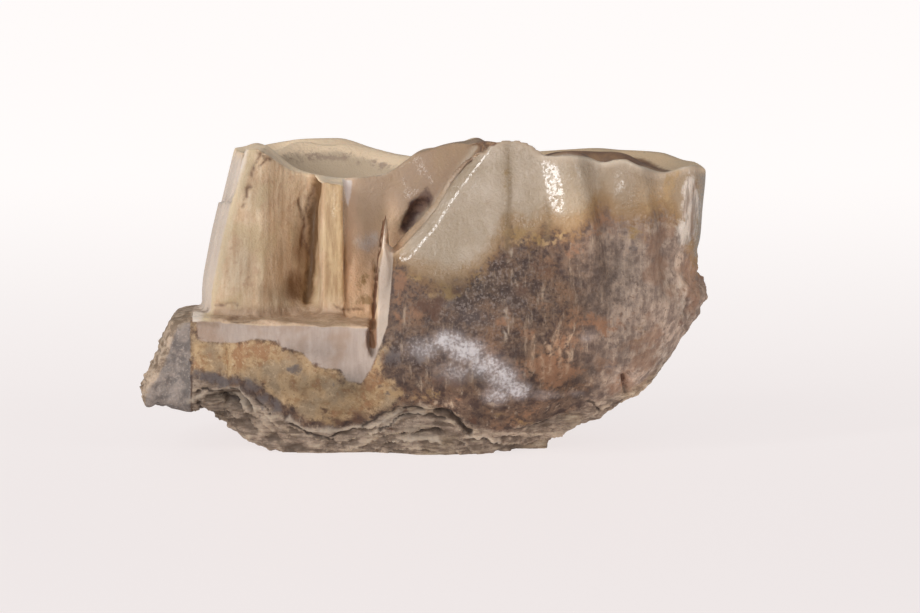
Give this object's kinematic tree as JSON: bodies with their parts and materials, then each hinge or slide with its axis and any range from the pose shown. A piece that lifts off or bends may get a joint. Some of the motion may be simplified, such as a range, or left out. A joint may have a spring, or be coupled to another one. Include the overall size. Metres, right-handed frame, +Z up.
{
  "type": "fossil rhinoceros upper molar",
  "caption": "Worn fossil rhinoceros cheek tooth with glossy enamel ridges, a cross valley, a broken inner corner and rough stained root stumps it stands on.",
  "frame": {"origin": "middle of the bounding box in plan, at the level of the ground faces of the root stumps", "axes": "+X to the right along the tooth's row direction as the picture shows it, +Y away from the camera towards the outer (cheek) wall, +Z up towards the chewing face"},
  "size_m": [0.061, 0.0422, 0.0337],
  "materials": {
    "fossil_tooth": "glossy cream enamel above, matte beige dentine where broken, rough brown and grey stained root below"
  },
  "bodies": {
    "root": {"molar": "fossil_tooth"}
  },
  "joints": []
}
